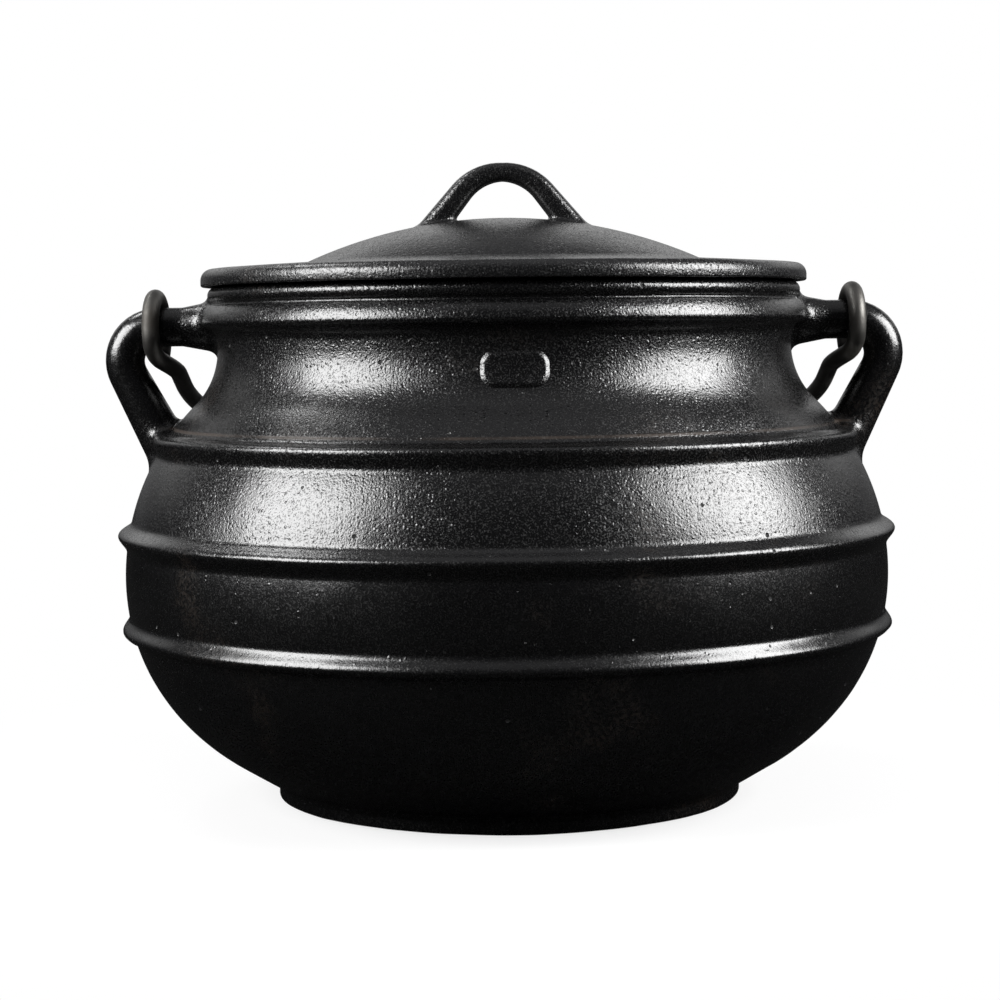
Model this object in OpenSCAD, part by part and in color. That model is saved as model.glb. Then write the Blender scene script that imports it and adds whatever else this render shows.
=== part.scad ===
// Flat-bottomed cast iron potjie: a round ribbed pot with two cast ears, a loose domed lid with
// a cast grip, and a bail bent from one steel wire that swings on the ears.
// Millimetres. Z is up and the origin is the centre of the foot's underside. The ears lie along X,
// and the bail is drawn where it rests, hanging down behind the pot towards +Y.

/* [Foot and belly] */
// Diameter of the flat foot
foot_d = 107.8; // [102:0.2:116]
// Height of the foot's upright edge
foot_h = 3.4; // [2:0.1:6]
// Chamfer round the foot's lower edge
foot_edge = 0.8; // [0.3:0.1:1.5]
// Slope of the straight skirt between foot and belly, from the level, in degrees
skirt_slope = 30; // [26:1:34]
// Diameter of the belly at its widest, without the ribs
belly_d = 176.6; // [168:0.2:186]
// Radius of the belly's section below its widest level
lower_arc_r = 49; // [45:0.5:53]
// Radius of the belly's section above its widest level
upper_arc_r = 56; // [51:0.5:61]
// Thickness of the casting's wall
wall = 4; // [3:0.1:5]

/* [Ribs] */
// How far a rib stands out from the belly
rib_h = 2.7; // [1.5:0.1:3.5]
// Width of a rib with the soft slopes on both sides
rib_w = 9.4; // [7:0.1:11]
// How far the lowest rib lies below the widest level
low_rib_drop = 11.7; // [9:0.1:15]
// How far the middle rib lies above the widest level
mid_rib_rise = 10.4; // [8:0.1:14]
// How far the top rib lies above the widest level
top_rib_rise = 32.4; // [29:0.1:35]

/* [Neck and rim] */
// Outer diameter of the neck at its narrowest
neck_d = 132.6; // [126:0.2:138]
// Radius of the hollow curve between shoulder and neck
cove_r = 13.2; // [11:0.1:16]
// Height of the rim's top above the neck's narrowest level
neck_rise = 16.2; // [15:0.1:18]
// Radius of the rim's large bead
bead_r = 2.6; // [2.2:0.1:3]
// How far the large bead stands out from the neck
bead_proud = 3.4; // [2.8:0.1:4]
// Depth of the large bead's middle below the rim's top
bead_drop = 6.6; // [6.2:0.1:7.2]
// Radius of the flare that runs into the large bead
flare_r = 4; // [3:0.1:5]
// Radius of the rim's lip
lip_r = 1.5; // [1.2:0.1:1.8]
// How far the lip stands out from the neck
lip_proud = 2.1; // [1.7:0.1:2.6]

/* [Ears] */
// Diameter of an ear's round bar
ear_bar_d = 9; // [8:0.1:9.6]
// Length of the ear's top bar, from the rim's bead to the start of its corner
ear_bar_l = 10.8; // [9.5:0.1:14]
// Depth of the ear's top bar below the rim's top, at its middle
ear_drop = 8.95; // [8:0.05:10]
// Radius of the ear's outer corner, along the bar's middle
ear_corner_r = 7.8; // [7.4:0.1:9]
// Lean of the ear's leg towards the pot, from upright, in degrees
ear_lean = 27; // [22:1:30]
// Diameter of the ear's top bar where it grows out of the rim
ear_root_d = 13; // [11:0.1:14]
// Length of the taper on the ear's top bar
ear_taper = 10.5; // [8:0.1:12]
// Diameter of the ear's leg where it runs into the shoulder
ear_foot_d = 11; // [9.6:0.1:12]

/* [Lid] */
// How far the lid's edge reaches past the rim's bead
lid_over = 0.2; // [-1:0.1:2]
// Thickness of the lid's edge
lid_edge = 2.8; // [2.2:0.1:3.6]
// Radius of the lid's rounded top edge
lid_edge_r = 1.2; // [0.6:0.1:1.6]
// Rise of the sloping margin from the edge to the dome
margin_rise = 3.3; // [2:0.1:5]
// Diameter of the dome where it meets the margin
dome_d = 88; // [78:0.5:98]
// Height of the dome above its own edge
dome_rise = 9.2; // [7:0.1:12]
// Thickness of the lid's metal
lid_wall = 3.5; // [2.8:0.1:4]
// Gap between the locating ring and the pot's mouth
lid_clear = 0.8; // [0.5:0.1:1.5]
// Thickness of the locating ring
seat_ring_t = 3; // [2:0.1:4]
// Depth of the locating ring below the lid's seat
seat_ring_h = 4; // [2.5:0.1:6]

/* [Lid grip] */
// Height of the grip's top above the dome's top
grip_h = 12.8; // [11:0.1:15]
// Thickness of the grip at its top
grip_t = 4.4; // [3.8:0.1:5.4]
// Thickness of the grip's legs at the dome
grip_foot_t = 6.6; // [5.4:0.1:7.4]
// Width of the grip at its top, front to back
grip_w = 7; // [5:0.1:9]
// Width of the grip's legs at the dome, front to back
grip_foot_w = 8.6; // [7:0.1:11]
// Bend radius of the grip, along its middle
grip_bend_r = 9.85; // [8.5:0.1:11.5]
// Slope of the grip's legs, from the level, in degrees
grip_slope = 51; // [46:1:58]

/* [Bail] */
// Diameter of the bail's wire
wire_d = 4; // [3.4:0.1:4.4]
// Room between the eye and the ear's bar, all round
eye_play = 1.05; // [0.9:0.05:1.4]
// Turn of the wire round the ear, in degrees
eye_wrap = 315; // [290:1:318]
// How far the eye's middle lies out past the start of the ear's corner
eye_out = 0.3; // [-1:0.1:0.6]
// Turn of the eye's front away from the pot, in degrees
eye_turn = 3; // [0:0.5:4]
// Gap between the eye and the top of the ear's bar
eye_clear = 0.3; // [0.2:0.05:0.5]
// How far each arm bends in from its eye
neck_in = 4.1; // [3.5:0.1:5]
// Length of the bend that leads each arm in from its eye
neck_bend = 16; // [12:0.5:20]
// How far before the eye's lowest point the bend begins
neck_lead = 6.4; // [4:0.1:9]
// Length of each arm's straight stretch, from the end of that bend to the bow
bow_straight = 8.7; // [4:0.1:16]
// Gap between the resting bow and the pot
rest_gap = 0.35; // [0.2:0.05:1]

/* [Hidden] */
$fn = 96;
arc_step = 2;
foot_r = foot_d / 2;
belly_r = belly_d / 2;
neck_r = neck_d / 2;
mouth_r = neck_r - wall;
rim_r = neck_r + bead_proud;

// Centres of the section's arcs, as [radius, height]. Each arc is tangent to its neighbours.
lower_r = belly_r - lower_arc_r;
upper_r = belly_r - upper_arc_r;
skirt_top = lower_r + lower_arc_r * sin(skirt_slope);
belly_z = foot_h + (skirt_top - foot_r) * tan(skirt_slope) + lower_arc_r * cos(skirt_slope);
cove_x = neck_r + cove_r;
neck_z = belly_z + sqrt(pow(upper_arc_r + cove_r, 2) - pow(cove_x - upper_r, 2));
shoulder_angle = atan2(neck_z - belly_z, cove_x - upper_r);
lower_c = [lower_r, belly_z];
upper_c = [upper_r, belly_z];
cove_c = [cove_x, neck_z];
rim_z = neck_z + neck_rise;

// Large bead, the flare below it and the lip
bead_c = [rim_r - bead_r, rim_z - bead_drop];
flare_x = neck_r + flare_r;
flare_c = [flare_x, bead_c.y - sqrt(pow(bead_r + flare_r, 2) - pow(flare_x - bead_c.x, 2))];
flare_angle = atan2(bead_c.y - flare_c.y, bead_c.x - flare_c.x);
lip_c = [neck_r + lip_proud - lip_r, rim_z - lip_r];
groove_angle = 65;

// Ears: the outer corner's centre, the leg's length down through the wall, and how far the leg
// stands out from the corner's end and laps over it
ear_bar_r = ear_bar_d / 2;
ear_z = rim_z - ear_drop;
corner_c = [rim_r + ear_bar_l, ear_z - ear_corner_r];
leg_start = corner_c + ear_corner_r * [cos(ear_lean), -sin(ear_lean)] - upper_c;
leg_along = leg_start * [sin(ear_lean), cos(ear_lean)];
leg_len = leg_along - sqrt(pow(leg_along, 2) - leg_start * leg_start + pow(upper_arc_r - wall, 2));
leg_lip = 0.15;
leg_lap = 0.6;

// Lid
lid_r = rim_r + lid_over;
dome_edge_r = dome_d / 2;
margin_z = rim_z + lid_edge + margin_rise;
dome_top = margin_z + dome_rise;
dome_r = (pow(dome_edge_r, 2) + pow(dome_rise, 2)) / (2 * dome_rise);
dome_c = [0, dome_top - dome_r];
dome_angle = acos(dome_edge_r / dome_r);
ring_out_r = mouth_r - lid_clear;
ring_in_r = ring_out_r - seat_ring_t;
margin_slope = margin_rise / (lid_r - lid_edge_r - dome_edge_r);

// Lid grip
grip_c = [0, dome_top + grip_h - grip_t / 2 - grip_bend_r];
grip_leg = (grip_c.y + grip_bend_r * cos(grip_slope) - dome_top + dome_rise / 2) / sin(grip_slope);
grip_leg_steps = 4;
grip_step = 6;
grip_sides = 20;
grip_corner = 0.6;

// Bail: the eyes turn about the line at hinge_z, and the bow is a half circle on two straight arms
wire_r = wire_d / 2;
eye_r = ear_bar_r + wire_r + eye_play;
hinge_z = ear_z + ear_bar_r + eye_clear - (eye_r - wire_r);
eye_x = corner_c.x + eye_out;
bow_r = eye_x - neck_in;
bow_arm = neck_bend - neck_lead + bow_straight;
wire_sides = 12;
eye_step = 15;
bow_step = 5;
neck_step = 2;
level_droop = 0;
steep_droop = 60;
droop_step = 0.01;

// Points along an arc, on steps of about arc_step degrees
function arc(c, r, from, to) =
    let (steps = max(2, ceil(abs(to - from) / arc_step)))
    [for (i = [0:steps]) let (a = from + (to - from) * i / steps) c + r * [cos(a), sin(a)]];

// Height of a rib at a distance from its crest, measured along the belly
function swell(distance) =
    abs(distance) < rib_w / 2 ? rib_h * (1 + cos(360 * distance / rib_w)) / 2 : 0;

// Points along one of the belly's arcs, raised where the ribs at the given angles run
function ribbed_arc(c, r, from, to, ribs) =
    let (steps = ceil(abs(to - from)))
    [for (i = [0:steps])
        let (a = from + (to - from) * i / steps)
        let (raised = [for (rib = ribs) swell((a - rib) * PI / 180 * r)])
        c + (r + max(concat([0], raised))) * [cos(a), sin(a)]];

function rib_angle(r, rise) = asin(rise / (r + rib_h));

// The pot's outside, from the middle of the foot up to the rim's seat
function pot_outside() = concat(
    [[0, 0], [foot_r - foot_edge, 0], [foot_r, foot_edge], [foot_r, foot_h]],
    ribbed_arc(lower_c, lower_arc_r, skirt_slope - 90, 0, [rib_angle(lower_arc_r, -low_rib_drop)]),
    ribbed_arc(upper_c, upper_arc_r, 0.5, shoulder_angle,
        [rib_angle(upper_arc_r, mid_rib_rise), rib_angle(upper_arc_r, top_rib_rise)]),
    arc(cove_c, cove_r, 180 + shoulder_angle - arc_step, 180),
    arc(flare_c, flare_r, 180, flare_angle),
    arc(bead_c, bead_r, flare_angle - 180 + arc_step, groove_angle),
    arc(lip_c, lip_r, -groove_angle, 90));

// The pot's hollow, from the middle of its floor up through the mouth
function pot_hollow() = concat(
    arc(lower_c, lower_arc_r - wall, -90, 0),
    arc(upper_c, upper_arc_r - wall, arc_step, shoulder_angle),
    arc(cove_c, cove_r + wall, 180 + shoulder_angle - arc_step, 180),
    [[mouth_r, rim_z + wall], [0, rim_z + wall], [0, belly_z - lower_arc_r + wall]]);

// One ear: a level bar that tapers out of the rim, a round corner, and a leg that widens down to the
// shoulder and laps over the corner's end
module ear() {
    root_x = mouth_r + wall / 2;
    translate([root_x, 0, ear_z]) rotate([0, 90, 0]) rotate([0, 0, 180]) {
        cylinder(d1 = ear_root_d, d2 = ear_bar_d, h = ear_taper);
        translate([0, 0, ear_taper]) cylinder(d = ear_bar_d, h = corner_c.x - root_x - ear_taper);
    }
    translate([corner_c.x, 0, corner_c.y]) {
        rotate([90, 0, 0]) rotate_extrude(angle = 90 + ear_lean, start = -ear_lean)
            translate([ear_corner_r, 0]) circle(ear_bar_r);
        rotate([0, ear_lean, 0]) translate([ear_corner_r, 0, -leg_len])
            cylinder(d1 = ear_foot_d, d2 = ear_bar_d + 2 * leg_lip, h = leg_len + leg_lap);
    }
}

module pot() {
    color("#2b2b2d") difference() {
        union() {
            rotate_extrude() polygon(concat(pot_outside(), [[0, rim_z]]));
            for (side = [0, 1]) mirror([side, 0, 0]) ear();
        }
        rotate_extrude() polygon(pot_hollow());
    }
}

// Half of the lid's section, from the middle of the dome down to the tip of the locating ring
function lid_outside() = concat(
    arc(dome_c, dome_r, 90, dome_angle),
    arc([lid_r - lid_edge_r, rim_z + lid_edge - lid_edge_r], lid_edge_r, 90, 0),
    [[lid_r, rim_z], [ring_out_r, rim_z], [ring_out_r, rim_z - seat_ring_h],
        [0, rim_z - seat_ring_h]]);

// The hollow under the lid, which follows the lid's top at the thickness of its metal
function lid_hollow() =
    let (drop = lid_wall, under_edge_z = margin_z - margin_slope * (ring_in_r - dome_edge_r) - drop)
    concat(
        arc(dome_c, dome_r - lid_wall, 90, dome_angle),
        [[ring_in_r, under_edge_z], [ring_in_r, rim_z - 2 * seat_ring_h],
            [0, rim_z - 2 * seat_ring_h]]);

// One ring of points round the grip: where it is, which way its outer side faces, and its size
function grip_ring(c, facing, thick, wide) = [for (i = [0:grip_sides - 1])
    let (a = 360 * i / grip_sides, x = cos(a), y = sin(a))
    let (out = sign(x) * pow(abs(x), grip_corner) * thick / 2)
    [c.x + out * cos(facing), sign(y) * pow(abs(y), grip_corner) * wide / 2, c.y + out * sin(facing)]];

// The grip's rings from the left foot over the top to the right foot
function grip_rings() =
    let (bend = 90 - grip_slope, leg_dir = [cos(grip_slope), -sin(grip_slope)])
    let (knee_t = (grip_t + grip_foot_t) / 2, knee_w = (grip_w + grip_foot_w) / 2)
    let (half = concat(
        [for (a = [90:-grip_step:bend])
            let (share = (90 - a) / (90 - bend))
            [grip_c + grip_bend_r * [cos(a), sin(a)], a,
                grip_t + (knee_t - grip_t) * share, grip_w + (knee_w - grip_w) * share]],
        [for (i = [1:grip_leg_steps])
            let (share = i / grip_leg_steps)
            [grip_c + grip_bend_r * [cos(bend), sin(bend)] + leg_dir * grip_leg * share, bend,
                knee_t + (grip_foot_t - knee_t) * share, knee_w + (grip_foot_w - knee_w) * share]]))
    concat(
        [for (i = [len(half) - 1:-1:1])
            grip_ring([-half[i][0].x, half[i][0].y], 180 - half[i][1], half[i][2], half[i][3])],
        [for (s = half) grip_ring(s[0], s[1], s[2], s[3])]);

// A solid through rings of points that all have the same number of sides
module loft(rings) {
    n = len(rings[0]);
    last = len(rings) - 1;
    polyhedron(
        points = [for (ring = rings) for (p = ring) p],
        faces = concat(
            [[for (i = [n - 1:-1:0]) i]],
            [for (k = [0:last - 1]) for (i = [0:n - 1])
                [k * n + i, k * n + (i + 1) % n, (k + 1) * n + (i + 1) % n, (k + 1) * n + i]],
            [[for (i = [0:n - 1]) last * n + i]]));
}

module lid() {
    color("#333335") difference() {
        union() {
            rotate_extrude() polygon(lid_outside());
            loft(grip_rings());
        }
        rotate_extrude() polygon(lid_hollow());
    }
}

function unit(v) = v / norm(v);
function soft_step(t) = let (k = min(1, max(0, t))) k * k * (3 - 2 * k);

// How far in from the eye the wire has come, at a distance along it past the eye's lowest point
function neck_shift(along) = -neck_in * soft_step((along + neck_lead) / neck_bend);

// Right half of the bow's middle line, with the bow level
function bow_points() = [for (a = [0:bow_step:90]) [bow_r * cos(a), bow_arm + bow_r * sin(a), -eye_r]];

// Smallest gap between the pot and the bow when it droops by an angle
function bow_gap(droop, outside) = min([for (p = bow_points())
    let (y = p.y * cos(droop) + p.z * sin(droop), z = hinge_z - p.y * sin(droop) + p.z * cos(droop))
    let (at = [norm([p.x, y]), z])
    for (q = outside) norm(at - q)]) - wire_r;

// How far the bow droops before it lies against the pot, found between two angles
function rest_droop(above, below, outside) =
    below - above < droop_step ? above :
    let (middle = (above + below) / 2)
    bow_gap(middle, outside) > rest_gap
        ? rest_droop(middle, below, outside)
        : rest_droop(above, middle, outside);

// Middle line of the bail's right half, with the bow level: round the eye, out along the arm and
// round to the middle of the bow
function half_bail() = concat(
    [for (a = [270 - eye_wrap:eye_step:270])
        let (along = (a - 270) * PI / 180 * eye_r, turned = eye_r * cos(a) * sin(eye_turn))
        [eye_x - turned + neck_shift(along), eye_r * cos(a), eye_r * sin(a)]],
    [for (y = [neck_step:neck_step:bow_arm - neck_step / 2]) [eye_x + neck_shift(y), y, -eye_r]],
    bow_points());

// Middle line of the whole bail, from one eye's tip to the other's
function bail_path() =
    let (right = half_bail(), n = len(right))
    concat(right, [for (i = [n - 2:-1:0]) [-right[i].x, right[i].y, right[i].z]]);

// Rings of points round a path, each square to it and carried on from the one before without a twist
function wire_rings(path) =
    let (n = len(path))
    let (along = [for (i = [0:n - 1]) unit(path[min(i + 1, n - 1)] - path[max(i - 1, 0)])])
    let (sides = [for (i = 0, s = [1, 0, 0]; i < n;
        i = i + 1, s = i < n ? unit(s - (s * along[i]) * along[i]) : s)
        unit(s - (s * along[i]) * along[i])])
    [for (i = [0:n - 1])
        let (u = sides[i], v = cross(along[i], u))
        [for (k = [0:wire_sides - 1])
            let (a = 360 * k / wire_sides)
            path[i] + wire_r * (u * cos(a) + v * sin(a))]];

module bail() {
    droop = rest_droop(level_droop, steep_droop, pot_outside());
    color("#6b6760") translate([0, 0, hinge_z]) rotate([-droop, 0, 0]) loft(wire_rings(bail_path()));
}

pot();
lid();
bail();
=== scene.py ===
"""Looks of a flat-bottomed cast iron potjie: pot, lid, wire bail, and the studio round them."""
import itertools
import logging
import math
from abc import ABC, abstractmethod
from dataclasses import dataclass, field
from enum import Enum
from typing import Any, Sequence, Union

import bmesh
import bpy
import numpy as np
from mathutils import Matrix, Vector


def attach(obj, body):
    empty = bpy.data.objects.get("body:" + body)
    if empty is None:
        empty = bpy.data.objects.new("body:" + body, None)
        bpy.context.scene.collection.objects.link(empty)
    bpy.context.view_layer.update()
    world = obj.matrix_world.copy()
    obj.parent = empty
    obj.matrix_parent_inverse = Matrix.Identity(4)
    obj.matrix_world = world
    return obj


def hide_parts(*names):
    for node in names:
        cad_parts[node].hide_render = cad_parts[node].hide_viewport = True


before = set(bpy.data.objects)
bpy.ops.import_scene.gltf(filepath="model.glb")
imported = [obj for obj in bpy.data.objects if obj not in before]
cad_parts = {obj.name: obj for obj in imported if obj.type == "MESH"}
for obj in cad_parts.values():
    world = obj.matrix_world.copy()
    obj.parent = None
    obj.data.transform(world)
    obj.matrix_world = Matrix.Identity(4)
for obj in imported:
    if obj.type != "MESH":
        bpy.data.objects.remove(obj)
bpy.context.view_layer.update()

MM = 0.001
LOG = logging.getLogger("potjie")

Colour = tuple[float, float, float]
Span = tuple[float, float]
Outline = list[Span]
Key = Union[str, int]

WHITE: Colour = (1.0, 1.0, 1.0)
POT_MIDDLE = Vector((0, 0, 0.07))


class Socket:
    """One output of a node, on which plain maths adds nodes."""

    def __init__(self, graph: "Graph", link: bpy.types.NodeSocket) -> None:
        """Keeps the output and the tree that it is in."""
        self.graph = graph
        self.link = link

    def math(self, operation: str, *others: "Value") -> "Socket":
        """Works something out from this value and any others."""
        return self.graph.calc(operation, self, *others)

    def __add__(self, other: "Value") -> "Socket":
        """Adds a value."""
        return self.math("ADD", other)

    def __sub__(self, other: "Value") -> "Socket":
        """Takes a value away."""
        return self.math("SUBTRACT", other)

    def __rsub__(self, other: "Value") -> "Socket":
        """Takes this away from a value."""
        return self.graph.calc("SUBTRACT", other, self)

    def __mul__(self, other: "Value") -> "Socket":
        """Multiplies by a value."""
        return self.math("MULTIPLY", other)

    __radd__ = __add__

    def size(self) -> "Socket":
        """Gives the value without its sign."""
        return self.math("ABSOLUTE")

    def length(self) -> "Socket":
        """Gives a vector's length."""
        return self.graph.add("ShaderNodeVectorMath", {0: self}, operation="LENGTH")["Value"]

    def step(self, low: float, high: float) -> "Socket":
        """Runs softly from 0 at low to 1 at high.

        Args:
            low: Value where the result is 0.
            high: Value where the result is 1.

        Returns:
            The soft step.
        """
        names = {"Value": self, "From Min": low, "From Max": high}
        return self.graph.add("ShaderNodeMapRange", names, interpolation_type="SMOOTHSTEP")[0]


Value = Union[float, int, Sequence[float], bpy.types.ID, Socket]


class Made:
    """A node that has been added, read by its outputs' names or numbers."""

    def __init__(self, graph: "Graph", node: bpy.types.Node) -> None:
        """Keeps the node."""
        self.graph = graph
        self.node = node

    def __getitem__(self, key: Key) -> Socket:
        """Gives one output."""
        return Socket(self.graph, self.node.outputs[key])


class Graph:
    """Adds nodes to one tree of a material, a world or a geometry modifier."""

    def __init__(self, tree: bpy.types.NodeTree) -> None:
        """Empties the tree."""
        self.tree = tree
        tree.nodes.clear()

    def add(self, kind: str, values: dict[Key, Value] | None = None, **settings: Any) -> Made:
        """Adds any node.

        Args:
            kind: The node's type.
            values: Numbers, colours or links for its sockets, by name or number.
            settings: Its own settings, set first.

        Returns:
            The node, to read its outputs from.
        """
        node = self.tree.nodes.new(kind)
        for name, setting in settings.items():
            setattr(node, name, setting)
        for key, value in (values or {}).items():
            if isinstance(value, Socket):
                self.tree.links.new(value.link, node.inputs[key])
            else:
                node.inputs[key].default_value = value
        return Made(self, node)

    def calc(self, operation: str, *values: Value) -> Socket:
        """Adds one Math node.

        Args:
            operation: The node's operation.
            values: What its sockets take, in order.

        Returns:
            The result.
        """
        return self.add("ShaderNodeMath", dict(enumerate(values)), operation=operation)[0]

    def mix(self, factor: Value, first: Value, second: Value) -> Socket:
        """Mixes two colours.

        Args:
            factor: 0 gives the first colour, 1 the second.
            first: First colour.
            second: Second colour.

        Returns:
            The mixed colour.
        """
        return self.add("ShaderNodeMix", {0: factor, 6: first, 7: second}, data_type="RGBA")[2]

    def noise(self, place: Socket, size: float, detail: float = 2.0, roughness: float = 0.5) -> Socket:
        """Adds a noise whose grains have a given size.

        Args:
            place: Where the noise is read.
            size: Size of the grains, in metres.
            detail: How many finer layers it has.
            roughness: How strong the finer layers are.

        Returns:
            The noise, about 0.5 on average.
        """
        values = {"Vector": place, "Scale": 1 / size, "Detail": detail, "Roughness": roughness}
        return self.add("ShaderNodeTexNoise", values)[0]

    def cells(self, place: Socket, spacing: float) -> tuple[Socket, Made]:
        """Adds a pattern of cells.

        Args:
            place: Where the pattern is read.
            spacing: About how far apart the cells are, in metres.

        Returns:
            The distance from each cell's middle, and the cell's random numbers.
        """
        made = self.add("ShaderNodeTexVoronoi", {"Vector": place, "Scale": 1 / spacing})
        return made["Distance"], self.add("ShaderNodeSeparateColor", {0: made["Color"]})

    def surface(self, height: Socket, values: dict[str, Value]) -> None:
        """Ends a material with a shader.

        Args:
            height: Height of the fine relief, in metres.
            values: What the shader's sockets take, by name.
        """
        normal = self.add("ShaderNodeBump", {"Strength": 1.0, "Distance": 1.0, "Height": height})[0]
        shader = self.add("ShaderNodeBsdfPrincipled", {**values, "Normal": normal})[0]
        self.add("ShaderNodeOutputMaterial", {"Surface": shader})


def rgba(colour: Colour) -> tuple[float, float, float, float]:
    """Gives a colour its fourth number."""
    return (*colour, 1.0)


def new_material(name: str) -> tuple[bpy.types.Material, Graph, Socket]:
    """Makes a material without nodes of its own.

    Args:
        name: The material's name.

    Returns:
        The material, its tree and the place on the object.
    """
    material = bpy.data.materials.new(name)
    material.use_nodes = True
    graph = Graph(material.node_tree)
    return material, graph, graph.add("ShaderNodeTexCoord")["Object"]


def set_down(name: str, data: bpy.types.ID) -> bpy.types.Object:
    """Makes an object and adds it to the scene.

    Args:
        name: The object's name.
        data: Its mesh, light or camera.

    Returns:
        The object.
    """
    thing = bpy.data.objects.new(name, data)
    bpy.context.scene.collection.objects.link(thing)
    return thing


class Finish(ABC):
    """A surface finish that can make its own material."""

    slot: str

    @abstractmethod
    def material(self) -> bpy.types.Material:
        """Builds the material."""


@dataclass(frozen=True)
class CastIron(Finish):
    """Black semi-gloss iron as it comes from a sand mould.

    Each span holds the two values between which an effect softly comes in.
    """

    slot: str
    base: Colour = (0.0013, 0.0013, 0.0014)
    warm: Colour = (0.030, 0.019, 0.012)
    grain_size: float = 0.80 * MM
    grain_height: float = 0.03 * MM
    dot_spacing: float = 0.85 * MM
    dot_height: float = 0.14 * MM
    dot_edge: Span = (0.05, 0.5)
    dot_level: float = 0.45
    dot_choice: Span = (0.86, 0.88)
    speck_size: float = 0.36 * MM
    speck_height: float = 0.05 * MM
    speck_cover: Span = (0.52, 0.66)
    speck_dull: float = 0.24
    lump_size: float = 4.5 * MM
    lump_height: float = 0.06 * MM
    pit_spacing: float = 5 * MM
    pit_depth: float = 0.20 * MM
    pit_edge: Span = (0.05, 0.11)
    pit_choice: Span = (0.66, 0.68)
    pit_dull: float = 0.6
    calm_z: Span = (56 * MM, 68 * MM)
    calm_dots: float = 0.1
    calm_grain: float = 0.4
    cloud_size: float = 32 * MM
    cloud_spread: float = 0.12
    rust_cover: Span = (0.55, 0.8)
    rust_grain: Span = (0.4, 0.65)
    rust_tint: float = 0.35
    rust_dull: float = 0.2
    gloss: float = 0.22
    gloss_spread: float = 0.16
    specular: float = 0.62
    ear_r: Span = (74 * MM, 79 * MM)
    ear_z: Span = (86 * MM, 89 * MM)
    ear_wear: float = 0.65
    seam: bool = True
    seam_edge: Span = (0.15 * MM, 0.55 * MM)
    seam_tint: float = 0.4
    crease_z: float = 86.0 * MM
    crease_edge: Span = (0.10 * MM, 0.45 * MM)
    crease_r: Span = (79.5 * MM, 80.5 * MM)
    crease_cover: Span = (0.35, 0.6)
    crease_tint: float = 0.8
    line_rust: float = 0.8
    line_height: float = 0.05 * MM

    def material(self) -> bpy.types.Material:
        """Builds the iron's grain, pits, faint rust and gloss."""
        material, graph, place = new_material(self.slot + "_finish")
        axes = graph.add("ShaderNodeSeparateXYZ", {0: place})
        grain = graph.noise(place, self.grain_size, roughness=0.45)
        speck = graph.noise(place, self.speck_size, detail=1.0)
        lump = graph.noise(place, self.lump_size)
        cloud = graph.noise(place, self.cloud_size, detail=3.0, roughness=0.55)
        away, kind = graph.cells(place, self.pit_spacing)
        pit = (1 - away.step(*self.pit_edge)) * kind[0].step(*self.pit_choice)
        away, kind = graph.cells(place, self.dot_spacing)
        calm = axes["Z"].step(*self.calm_z) * (1 - self.calm_dots) + self.calm_dots
        still = calm * (1 - self.calm_grain) + self.calm_grain
        few = kind[1].step(*self.dot_choice)
        dot = (1 - away.step(*self.dot_edge)) * (kind[0] - self.dot_level) * few.math("MAXIMUM", calm)
        radius = graph.add("ShaderNodeCombineXYZ", {"X": axes["X"], "Y": axes["Y"]})[0].length()
        worn = 1 - radius.step(*self.ear_r) * axes["Z"].step(*self.ear_z) * self.ear_wear
        fine = (grain * self.grain_height + speck * self.speck_height) * still
        height = (fine + dot * self.dot_height) * worn + lump * self.lump_height - pit * self.pit_depth
        rust = cloud.step(*self.rust_cover) * grain.step(*self.rust_grain) * self.rust_tint
        if self.seam:
            line = (1 - axes["Y"].size().step(*self.seam_edge)) * self.seam_tint
            crease = 1 - (axes["Z"] - self.crease_z).size().step(*self.crease_edge)
            crease = crease * (1 - radius.step(*self.crease_r)) * cloud.step(*self.crease_cover)
            line = line.math("MAXIMUM", crease * self.crease_tint)
            rust = rust + line * (1 - rust) * self.line_rust
            height = height + line * self.line_height
        dull = speck.step(*self.speck_cover) * worn * still * self.speck_dull
        dull = dull + rust * self.rust_dull + pit * self.pit_dull
        rough = self.gloss + (grain - 0.5) * self.gloss_spread + (cloud - 0.5) * self.cloud_spread
        colour = graph.mix(rust, rgba(self.base), rgba(self.warm))
        graph.surface(height, {
            "Base Color": colour, "Roughness": rough + dull, "Specular IOR Level": self.specular})
        return material


@dataclass(frozen=True)
class DrawnWire(Finish):
    """Dull grey-brown steel wire."""

    slot: str
    base: Colour = (0.100, 0.097, 0.091)
    dark: Colour = (0.040, 0.036, 0.031)
    rough: float = 0.42
    grain_size: float = 0.6 * MM
    grain_height: float = 0.03 * MM
    grain_rough: float = 0.12
    stain_size: float = 7 * MM
    stain_cover: Span = (0.42, 0.7)
    stain_rough: float = 0.1
    stain_metal: float = 0.5

    def material(self) -> bpy.types.Material:
        """Builds the wire's dull metal and its darker stains."""
        material, graph, place = new_material(self.slot + "_finish")
        grain = graph.noise(place, self.grain_size, detail=3.0, roughness=0.6)
        stain = graph.noise(place, self.stain_size, detail=3.0, roughness=0.6).step(*self.stain_cover)
        graph.surface(grain * self.grain_height, {
            "Base Color": graph.mix(stain, rgba(self.base), rgba(self.dark)),
            "Metallic": 1 - stain * self.stain_metal,
            "Roughness": self.rough + grain * self.grain_rough + stain * self.stain_rough})
        return material


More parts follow.
